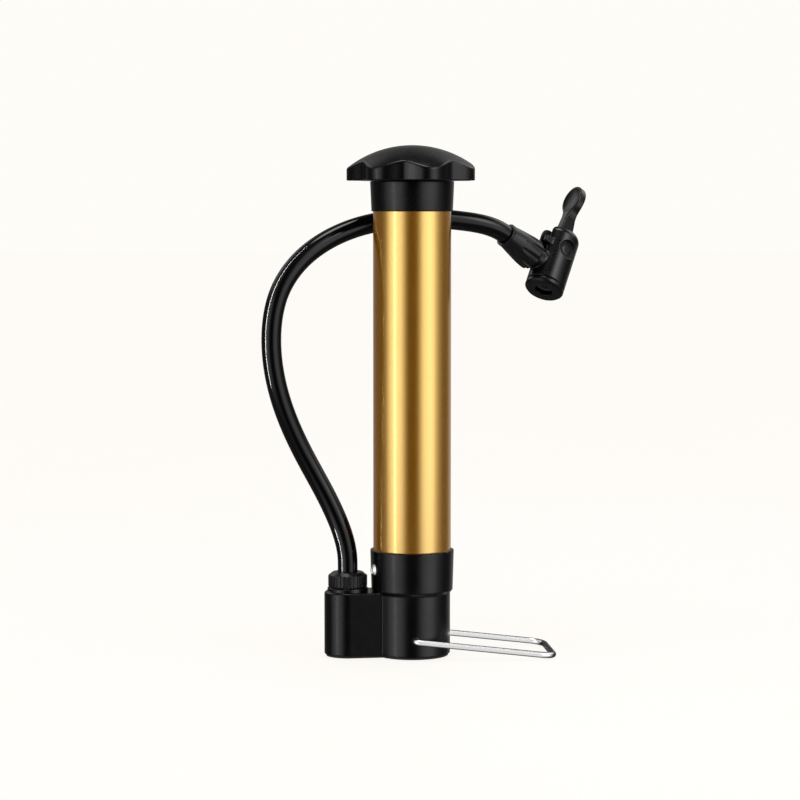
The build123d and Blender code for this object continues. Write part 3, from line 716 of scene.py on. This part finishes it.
def base_field(x, y, z):
    ring = polygon(RING, np.hypot(x, y), z) + 0.0025
    union_r = np.hypot(x - UNION_X, y)
    lobe = np.minimum(union_r - LOBE_R, polygon(WEB, x, y))
    lobe = rounded_overlap(lobe, z - 25.5, rounding=0.9)
    lobe = smax(lobe, 0.8 - z, blend=0.3)
    body = smin(ring, lobe, blend=0.18)
    boss = cylinder(union_r, z - 24.5, radius=8.0, half=2.5, rounding=0.35)
    body = smin(body, boss, blend=0.12)
    body = np.minimum(body, cylinder(union_r, z - 27.0, radius=5.8, half=4.0, rounding=0.3))
    # air way down the union: wide bore, cone seat, narrow passage
    bore = overlap(union_r - 3.0, 16.7 - z)
    seat = overlap((union_r - (1.3 + z - 15.0)) * 0.7071, 15.0 - z, z - 16.8)
    passage = overlap(union_r - 1.3, 7.5 - z, z - 15.2)
    body = cut(body, np.minimum(np.minimum(bore, seat), passage), blend=0.1)
    wire_hole = overlap(np.hypot(x, z - FOOT_WIRE_Z) - 1.25, 11.0 - np.abs(y))
    body = cut(body, wire_hole, blend=0.25)
    along = x * SCREW_DIRECTION[0] + y * SCREW_DIRECTION[1]
    across = x * SCREW_DIRECTION[1] - y * SCREW_DIRECTION[0]
    screw_hole = overlap(np.hypot(across, z - SCREW_Z) - 1.52, 8.6 - np.abs(along))
    return cut(body, screw_hole, blend=0.08)


base = skin("base_skin", base_field, (-36, -18, 0), (18, 18, 43), grid_step(0.38))
dress(crease(base, 48), "black", "base", "base_body")

# ------------------------------------------------------------------ union nut
NUT_GROOVES = 30
# (r, z) half section; the bore is chamfered at its foot, clear of the fillet round the neck
NUT = [(5.85, 27.75), (6.55, 27.05), (7.25, 27.05), (7.7, 27.6), (7.7, 31.7), (6.0, 33.1),
       (5.5, 33.2), (3.98, 33.2), (3.98, 32.42), (5.85, 32.42)]


def nut_field(x, y, z):
    radial, angle = np.hypot(x, y), np.arctan2(y, x)
    core = polygon(NUT, radial, z)
    turn = np.mod(angle * NUT_GROOVES / (2 * math.pi), 1.0) - 0.5
    arc = np.abs(turn) * 2 * math.pi * 7.5 / NUT_GROOVES
    groove = overlap(arc - 0.36, 7.2 - radial, np.abs(z - 29.7) - 2.2)
    return smax(cut(core, groove, blend=0.22), core, blend=0.1)


nut = skin("union_nut_skin", nut_field, (-8.2, -8.2, 26.6), (8.2, 8.2, 33.6),
           grid_step(0.15), frame_matrix((UNION_X, 0, 0)))
dress(nut, "fitting", "union_nut", "hose_nut")

# ------------------------------------------------------------------ valve head frames
HEAD_R = 8.0
PORT_Z = 10.8  # hose port above the head's face
PIVOT_Z = 18.5  # lever pivot above the head's face
lever_joint = joints["thumb_lever_flip"]
head_up = unit(as_array(joints["gland_pusher_slide"]["axis"]))
to_hose = unit(np.cross(as_array(lever_joint["axis"]), head_up))
pivot_axis = np.cross(head_up, to_hose)
pivot = as_array(lever_joint["pos_m"]) / MM
face = pivot - head_up * PIVOT_Z
port = face + head_up * PORT_Z
HEAD = frame_matrix(face, to_hose, pivot_axis, head_up)
PORT = frame_matrix(port, head_up, -pivot_axis, to_hose)
LEVER = frame_matrix(pivot, to_hose, pivot_axis, head_up)
PIN = frame_matrix(pivot, head_up, to_hose, pivot_axis)


# ------------------------------------------------------------------ valve head
def head_field(x, y, z):
    radial = np.hypot(x, y)
    body = rounded_overlap(radial - HEAD_R, z - 28.3, rounding=3.7)
    body = smax(body, 2.65 - z, blend=0.5)
    port_r = np.hypot(y, z - PORT_Z)
    stub = cylinder(port_r, x - 4.9, radius=4.7, half=5.0, rounding=0.35)
    body = smin(body, stub, blend=0.9)
    ears = box(x - 6.2, np.abs(y) - 3.95, z - 18.9, half=(4.0, 1.0, 1.45), rounding=0.6)
    body = smin(body, ears, blend=0.7)
    lever_slot = overlap(np.abs(y) - 2.9, -5.6 - x, 15.6 - z)
    body = cut(body, lever_slot, blend=0.45)
    chamber = overlap(radial - 5.5, z - 15.6)
    cap_recess = overlap(radial - 6.45, z - 6.0)
    body = cut(body, np.minimum(chamber, cap_recess), blend=0.12)
    body = cut(body, overlap(port_r - 2.58, 4.0 - x), blend=0.12)
    pin_r = np.hypot(x, z - PIVOT_Z)
    body = cut(body, overlap(pin_r - 3.95, 6.5 - np.abs(y)), blend=0.28)
    return cut(body, pin_r - 1.52, blend=0.12)


head = skin("valve_head_skin", head_field, (-8.6, -8.6, 2.0), (11.2, 8.6, 29.0),
            grid_step(0.2), HEAD)
dress(head, "head", "valve_head", "valve_head_body")

# Turned pieces of the head: outlines are (r, z, corner radius)
head_cap = crease(lathe("head_cap_skin", [
    (3.6, 2.0), (3.6, 0, 0.5), (6.2, 0, 0.15), (6.4, 0.12, 0.05), (6.6, 0.0, 0.1),
    (7.15, 0.0, 0.35), (HEAD_R, 0.85, 0.35), (HEAD_R, 2.3, 0.3), (6.4, 2.38, 0.1),
    (6.4, 5.9, 0.2), (5.5, 5.9, 0.2), (5.5, 2.42), (3.6, 2.42),
], segments=128, matrix=HEAD))
dress(head_cap, "head", "valve_head", "head_cap")

gland = crease(lathe("gland_skin", [
    (5.4, 5.0), (5.4, 2.46, 0.3), (3.5, 2.46, 0.35), (3.1, 3.1, 0.3), (3.1, 4.4), (3.25, 4.7),
    (3.1, 5.0), (3.1, 6.2), (3.25, 6.5), (3.1, 6.8), (3.1, 9.0, 0.2), (5.4, 9.0, 0.3),
], segments=96, matrix=HEAD), 40)
dress(gland, "gland", "valve_head", "valve_gland")

pin = crease(lathe("lever_pin_skin", [
    (0, 6.86), (1.5, 6.84, 0.4), (2.3, 6.62, 0.2), (2.3, 6.52, 0.05), (1.5, 6.5, 0.05),
    (1.5, -6.3, 0.25), (0, -6.4),
], segments=64, matrix=PIN, closed=False))
dress(pin, "fitting", "valve_head", "lever_pin")

# ------------------------------------------------------------------ thumb lever
CAM_R = 4.0
CAM_FALL = 1.0 / math.radians(80.0)  # mm per radian
PAD_Z, PAD_HALF_Y, PAD_HALF_Z = 26.9, 5.3, 6.4


def cam_point(degrees):
    """Point where the cam touches a flat when turned by an angle."""
    angle = math.radians(degrees)
    height = CAM_R - CAM_FALL * angle
    return (height * math.sin(angle) - CAM_FALL * math.cos(angle),
            -height * math.cos(angle) - CAM_FALL * math.sin(angle))


# (x, z) side outline: the cam, up the +x edge, down the -x edge
LEVER_OUTLINE = [cam_point(degrees) for degrees in range(0, 101, 10)] + [
    (2.75, 2.0), (2.9, 8.0), (2.6, 10.5), (2.0, 15.0), (1.5, 20.0), (1.0, 24.0),
    (-2.4, 24.0), (-3.0, 20.0), (-3.7, 15.0), (-4.3, 9.5), (-3.9, 6.0), (-2.9, 2.0),
    (-3.0, -2.6), (-2.4, -4.0),
]
# (z, half width) of the arm
ARM_WIDTHS = [(-4, 2.75), (8.5, 2.75), (11, 1.8), (18, 1.8), (22, 2.75), (24, 3.2)]


def lever_field(x, y, z):
    half_width = np.interp(z, *zip(*ARM_WIDTHS))
    arm = rounded_overlap(polygon(LEVER_OUTLINE, x, z), np.abs(y) - half_width, rounding=0.55)
    # oval pad, tapering into the arm
    pad_z = z - PAD_Z
    scaled = np.sqrt((y / PAD_HALF_Y) ** 2 + (pad_z / PAD_HALF_Z) ** 2)
    slope = np.sqrt((y / PAD_HALF_Y**2) ** 2 + (pad_z / PAD_HALF_Z**2) ** 2) + 1e-6
    oval = np.where(scaled > 1e-3, scaled * (scaled - 1) / slope, -PAD_HALF_Y) * 0.9
    pad = rounded_overlap(oval, np.abs(x + 0.7) - 1.95, rounding=0.95)
    body = smin(arm, pad, blend=1.6)
    dish = np.sqrt((x - 10.3) ** 2 + (y * 0.92) ** 2 + (pad_z * 0.78) ** 2) - 10.3
    body = cut(body, dish, blend=0.45)
    return cut(body, np.hypot(x, z) - 1.55, blend=0.1)


lever = skin("thumb_lever_skin", lever_field, (-5.4, -6.2, -4.8), (4.2, 6.2, 34.2),
             grid_step(0.16), LEVER)
dress(lever, "lever", "lever", "thumb_lever")

# ------------------------------------------------------------------ ferrule
# (r, z) half section, z away from the head along the hose
FERRULE = [
    (5.6, 9.95), (6.3, 10.3), (6.52, 10.9), (6.6, 11.8), (6.46, 14.5), (5.86, 19.0),
    (5.14, 23.5), (4.92, 25.2), (5.05, 25.7), (5.0, 26.3), (3.97, 26.3), (3.97, 11.36),
    (4.45, 11.36), (4.45, 9.95),
]


def ferrule_field(x, y, z):
    radial, angle = np.hypot(x, y), np.arctan2(y, x)
    core = polygon(FERRULE, radial, z) + 0.05
    # ten flutes that run out past z = 18.2
    turn = sector(angle + math.radians(18), 10)
    flute_x, flute_y = radial * np.cos(turn), radial * np.sin(turn)
    past_end = np.maximum(z - 18.2, 0)
    flute = np.sqrt((flute_x - 6.9) ** 2 + flute_y**2 + (past_end * 0.5) ** 2) - 1.25
    return cut(core, flute, blend=0.22)


ferrule = skin("ferrule_skin", ferrule_field, (-6.8, -6.8, 9.4), (6.8, 6.8, 26.8),
               grid_step(0.16), PORT)
dress(ferrule, "fitting", "valve_head", "hose_ferrule")

# ------------------------------------------------------------------ hose
sleeve_mouth, hose_end = port + to_hose * 26.5, port + to_hose * 11.4
# (point, direction of travel)
HOSE_STATIONS = [
    ((UNION_X, 0, 36.5), (0, 0, 1)),
    ((-31.17, 1.93, 57.63), (-0.4108, 0.0792, 0.9083)),
    ((-41.34, 2.97, 77.23), (-0.4657, 0.0069, 0.8849)),
    ((-50.30, 2.24, 97.42), (-0.3241, -0.0605, 0.9441)),
    ((-54.85, 0.89, 118.96), (-0.0722, -0.0474, 0.9963)),
    ((-52.55, 1.15, 140.79), (0.3193, 0.1039, 0.9419)),
    ((-40.18, 6.24, 157.98), (0.7390, 0.3211, 0.5923)),
    ((-21.91, 13.92, 167.57), (0.8909, 0.3514, 0.2879)),
    ((-1.33, 20.98, 171.17), (0.9609, 0.2717, 0.0536)),
    ((20.27, 25.60, 170.64), (0.9800, 0.1681, -0.1067)),
    (sleeve_mouth, -to_hose),
]


def hose_path():
    """Straight out of the nut, Hermite curves between stations, straight into the ferrule."""
    path = [(UNION_X, 0, z) for z in np.linspace(32.45, 36.3, 4)]
    for station, following in zip(HOSE_STATIONS, HOSE_STATIONS[1:]):
        start, end = as_array(station[0]), as_array(following[0])
        length = np.linalg.norm(end - start)
        leave = length * unit(as_array(station[1]))
        arrive = length * unit(as_array(following[1]))
        for t in np.linspace(0, 1, 19)[:-1]:
            path.append((2 * t**3 - 3 * t**2 + 1) * start + (t**3 - 2 * t**2 + t) * leave
                        + (-2 * t**3 + 3 * t**2) * end + (t**3 - t**2) * arrive)
    return path + [sleeve_mouth * (1 - t) + hose_end * t for t in np.linspace(0, 1, 8)]


hose = crease(tube("hose_skin", hose_path(), radius=3.9, segments=40, bore=2.28), 50)
paint(hose, "hose")
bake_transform(hose)
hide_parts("hose")

# ------------------------------------------------------------------ foot rest wire
WIRE_R = 1.2
WIRE_END_Y = 11.6
wire_high = size_of("foot_pedal")[1]
wire_x, wire_y = wire_high[0] - WIRE_R, wire_high[1] - WIRE_R
# (corner, bend radius), from the +y end round to the -y end
WIRE_CORNERS = [
    ((0, WIRE_END_Y, FOOT_WIRE_Z), 0), ((0, wire_y, FOOT_WIRE_Z), 1.6),
    ((wire_x, wire_y, WIRE_R), 5.5), ((wire_x, -wire_y, WIRE_R), 5.5),
    ((0, -wire_y, FOOT_WIRE_Z), 1.6), ((0, -WIRE_END_Y, FOOT_WIRE_Z), 0),
]


def wire_path():
    corners = [as_array(corner) for corner, _ in WIRE_CORNERS]
    path = [corners[0]]
    for i in range(1, len(corners) - 1):
        here, bend = corners[i], WIRE_CORNERS[i][1]
        back, ahead = unit(corners[i - 1] - here), unit(corners[i + 1] - here)
        run = bend / math.tan(angle_between(back, ahead) / 2)
        last, start = path[-1], here + back * run
        pieces = max(2, int(np.linalg.norm(start - last) / 1.5))
        path += [last + (start - last) * k / pieces for k in range(1, pieces)]
        path += corner_arc(here, back, ahead, run, steps=12)
    last = path[-1]
    return path + [last + (corners[-1] - last) * k / 3 for k in range(1, 4)]


foot_wire = crease(tube("foot_wire_skin", wire_path(), WIRE_R), 50)
dress(foot_wire, "chrome", "foot_rest", "foot_pedal")

# ------------------------------------------------------------------ rod
# (r, z, corner radius)
rod = crease(lathe("rod_skin", [
    (0, 43.0), (1.7, 43.0, 0.1), (2.0, 43.3, 0.1), (2.0, 60.0), (4.0, 60.0, 0.3), (4.0, 120.0),
    (4.0, 186.6, 0.3), (2.9, 186.6), (2.9, 194.8, 0.4), (0, 194.8),
], segments=96, closed=False))
dress(rod, "steel", "plunger", "piston_rod")

# ------------------------------------------------------------------ check-valve spring
SPRING_R, SPRING_TURNS, SPRING_Z0 = 1.6, 4.5, 19.0
# (turn, rise): the end coils lie closer together
SPRING_RISE = [(0, 0.0), (0.9, 0.55), (3.6, 4.65), (SPRING_TURNS, 5.2)]

coil = []
for k in range(181):
    turn = SPRING_TURNS * k / 180
    angle = turn * 2 * math.pi
    coil.append((UNION_X + SPRING_R * math.cos(angle), SPRING_R * math.sin(angle),
                 SPRING_Z0 + np.interp(turn, *zip(*SPRING_RISE))))
spring = crease(tube("check_spring_skin", coil, radius=0.25, segments=12), 50)
dress(spring, "steel", "base", "check_spring")
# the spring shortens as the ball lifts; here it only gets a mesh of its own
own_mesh(spring)


# ------------------------------------------------------------------ barrel screws
def screw_field(x, y, z):
    """Domed head with a cross recess, z outwards from the barrel's axis."""
    radial = np.hypot(x, y)
    dome = np.sqrt(radial * radial + (z - 14.75) ** 2) - 2.9
    dome = smax(smax(dome, radial - 2.6, blend=0.2), 16.34 - z, blend=0.1)
    shank = cylinder(radial, z - 12.8, radius=1.5, half=3.8, rounding=0.2)
    cos, sin = math.cos(0.42), math.sin(0.42)
    u, v = np.abs(x * cos + y * sin), np.abs(-x * sin + y * cos)
    draft = (17.6 - z) * 0.25
    cross = np.minimum(overlap(u - 1.5 + draft, v - 0.33 + draft * 0.3),
                       overlap(v - 1.5 + draft, u - 0.33 + draft * 0.3))
    return cut(smin(dome, shank, blend=0.05), overlap(cross, 16.75 - z), blend=0.08)


for k, side in enumerate((1, -1)):
    outward = np.array([SCREW_DIRECTION[0] * side, SCREW_DIRECTION[1] * side, 0.0])
    across = (-outward[1], outward[0], 0.0)
    screw = skin(f"screw_skin_{k}", screw_field, (-2.9, -2.9, 8.7), (2.9, 2.9, 18.0),
                 grid_step(0.11), frame_matrix((0, 0, SCREW_Z), across, (0, 0, 1), outward))
    dress(screw, "plated", "base", "barrel_screws")

# ------------------------------------------------------------------ floor
VIEW = math.radians(5.0)  # the camera's turn about Z
FLOOR_HALF, FLOOR_Z = 9, -0.0002  # metres

floor = new_object("studio_floor", [
    (x * FLOOR_HALF, y * FLOOR_HALF, FLOOR_Z) for x, y in ((-1, -1), (1, -1), (1, 1), (-1, 1))
], [(0, 1, 2, 3)])
floor.data.materials.append(studio_floor())
floor.visible_glossy = False
barrel.visible_glossy = False

# ------------------------------------------------------------------ world
GAIN = 10.0  # keeps the ramp colours below 1
# Studio brightness as (degrees from the camera's side, positive to its right; brightness)
LOW_BAND = [
    (-180, 0.25), (-150, 0.14), (-128, 0.06), (-100, 0.04), (-84, 0.16), (-71, 0.8), (-62, 1.0),
    (-55, 1.1), (-53.5, 4.2), (-52, 4.2), (-50.5, 1.15), (-41, 1.15), (-31, 0.9), (-23, 0.4),
    (-14, 0.03), (0, 0.01), (14, 0.03), (23, 0.35), (31, 0.9), (42, 1.2), (52, 1.38), (64, 1.2),
    (76, 0.5), (90, 0.18), (106, 0.05), (128, 0.08), (150, 0.34), (180, 0.3),
]
HIGH_BAND = [
    (-180, 0.14), (-165, 0.22), (-140, 0.9), (-115, 0.8), (-96, 0.25), (-82, 0.1), (-66, 0.4),
    (-50, 0.9), (-40, 0.5), (-30, 0.1), (-18, 0.02), (8, 0.04), (22, 0.2), (38, 1.4), (50, 3.9),
    (62, 3.1), (76, 0.7), (92, 0.5), (112, 1.1), (138, 1.7), (160, 0.4), (180, 0.14),
]


def grey(brightness):
    return (brightness / GAIN, brightness / GAIN, brightness / GAIN * 0.985)


def build_world():
    """Reflections see the banded studio, other rays an even fill, the camera plain white."""
    world = bpy.data.worlds.new("studio")
    scene.world = world
    world.use_nodes = True
    world.cycles.sampling_method = "NONE"  # the reflection and the even fill differ by ray
    w = Nodes(world.node_tree)
    output = w.node("OutputWorld")
    direction = w.node("TexCoord").outputs["Generated"]
    turned = w.node("VectorRotate", {"Vector": direction, "Angle": VIEW}, rotation_type="Z_AXIS")
    parts = w.node("SeparateXYZ", {0: turned.outputs[0]}).outputs
    azimuth = w.math("ARCTAN2", parts["X"], w.math("MULTIPLY", parts["Y"], -1))
    azimuth = w.remap(azimuth, (-math.pi, math.pi))

    def around(band):
        ramp = w.node("ValToRGB", {0: azimuth})
        stops = ramp.color_ramp.elements
        while len(stops) > 1:
            stops.remove(stops[-1])
        for i, (degrees, brightness) in enumerate(band):
            place = (degrees + 180) / 360
            stop = stops[0] if i == 0 else stops.new(place)
            stop.position = place
            stop.color = grey(brightness) + (1,)
        return ramp.outputs[0]

    def rise(low, high):
        return w.remap(parts["Z"], (low, high), interpolation_type="SMOOTHSTEP")

    def background(color, strength):
        return w.node("Background", {"Color": color, "Strength": strength}).outputs[0]

    # bands from the ground up, ending in a bright patch overhead
    studio = w.mix(rise(-0.5, -0.18), grey(0.1), around(LOW_BAND))
    studio = w.mix(rise(0.22, 0.46), studio, around(HIGH_BAND))
    studio = w.mix(rise(0.66, 0.84), studio, grey(0.08))
    studio = w.mix(rise(0.965, 0.99), studio, grey(5.0))
    reflected = background(studio, GAIN)
    even = background((1, 1, 0.985), 0.72)
    white = background((1.0, 0.978, 0.942), 1.0)
    ray = w.node("LightPath").outputs
    lit = w.node("MixShader", {0: ray["Is Glossy Ray"], 1: even, 2: reflected}).outputs[0]
    shown = w.node("MixShader", {0: ray["Is Camera Ray"], 1: lit, 2: white}).outputs[0]
    w.feed(output, {0: shown})


build_world()


# ------------------------------------------------------------------ lights and camera
def seen(right, away, up):
    """Millimetres as the camera sees them to a place in metres."""
    return Vector((right * math.cos(VIEW) + away * math.sin(VIEW),
                   -right * math.sin(VIEW) + away * math.cos(VIEW), up)) * MM


def area(name, place, target, size, power, mirrored):
    """Rectangular light, size in metres and power in watts."""
    light = bpy.data.lights.new(name, "AREA")
    light.shape, light.energy = "RECTANGLE", power
    light.size, light.size_y = size
    obj = bpy.data.objects.new(name, light)
    scene.collection.objects.link(obj)
    obj.location = place
    obj.rotation_mode = "QUATERNION"
    obj.rotation_quaternion = (Vector(target) - Vector(place)).to_track_quat("-Z", "Y")
    obj.visible_glossy = mirrored
    return obj


area("key_top", seen(-250, -350, 1100), target=(0, 0, 0.08), size=(0.9, 0.9), power=4.0,
     mirrored=False)
area("fill_right", seen(700, -300, 600), target=(0, 0, 0.08), size=(0.7, 0.9), power=1.6,
     mirrored=False)

# a tall narrow strip that only the gloss hose mirrors, for its single bright line
strip = area("hose_strip", seen(-1060, -430, 1830), target=seen(-50, 0, 1830),
             size=(0.055, 4.3), power=64.0, mirrored=True)
only_hose = bpy.data.collections.new("hose_strip_receivers")
only_hose.objects.link(hose)
strip.light_linking.receiver_collection = only_hose

CAMERA_TILT = 4.286  # degrees below level
lens = bpy.data.cameras.new("photo_camera")
camera = bpy.data.objects.new("photo_camera", lens)
scene.collection.objects.link(camera)
lens.sensor_width = 36.0
lens.lens = 116.737
lens.clip_start, lens.clip_end = 0.01, 20
camera.location = seen(-4.741, -1014.1, 176.53)
camera.rotation_mode = "XYZ"
camera.rotation_euler = (math.radians(90 - CAMERA_TILT), 0, -VIEW)
scene.camera = camera
scene.view_settings.view_transform = "Standard"
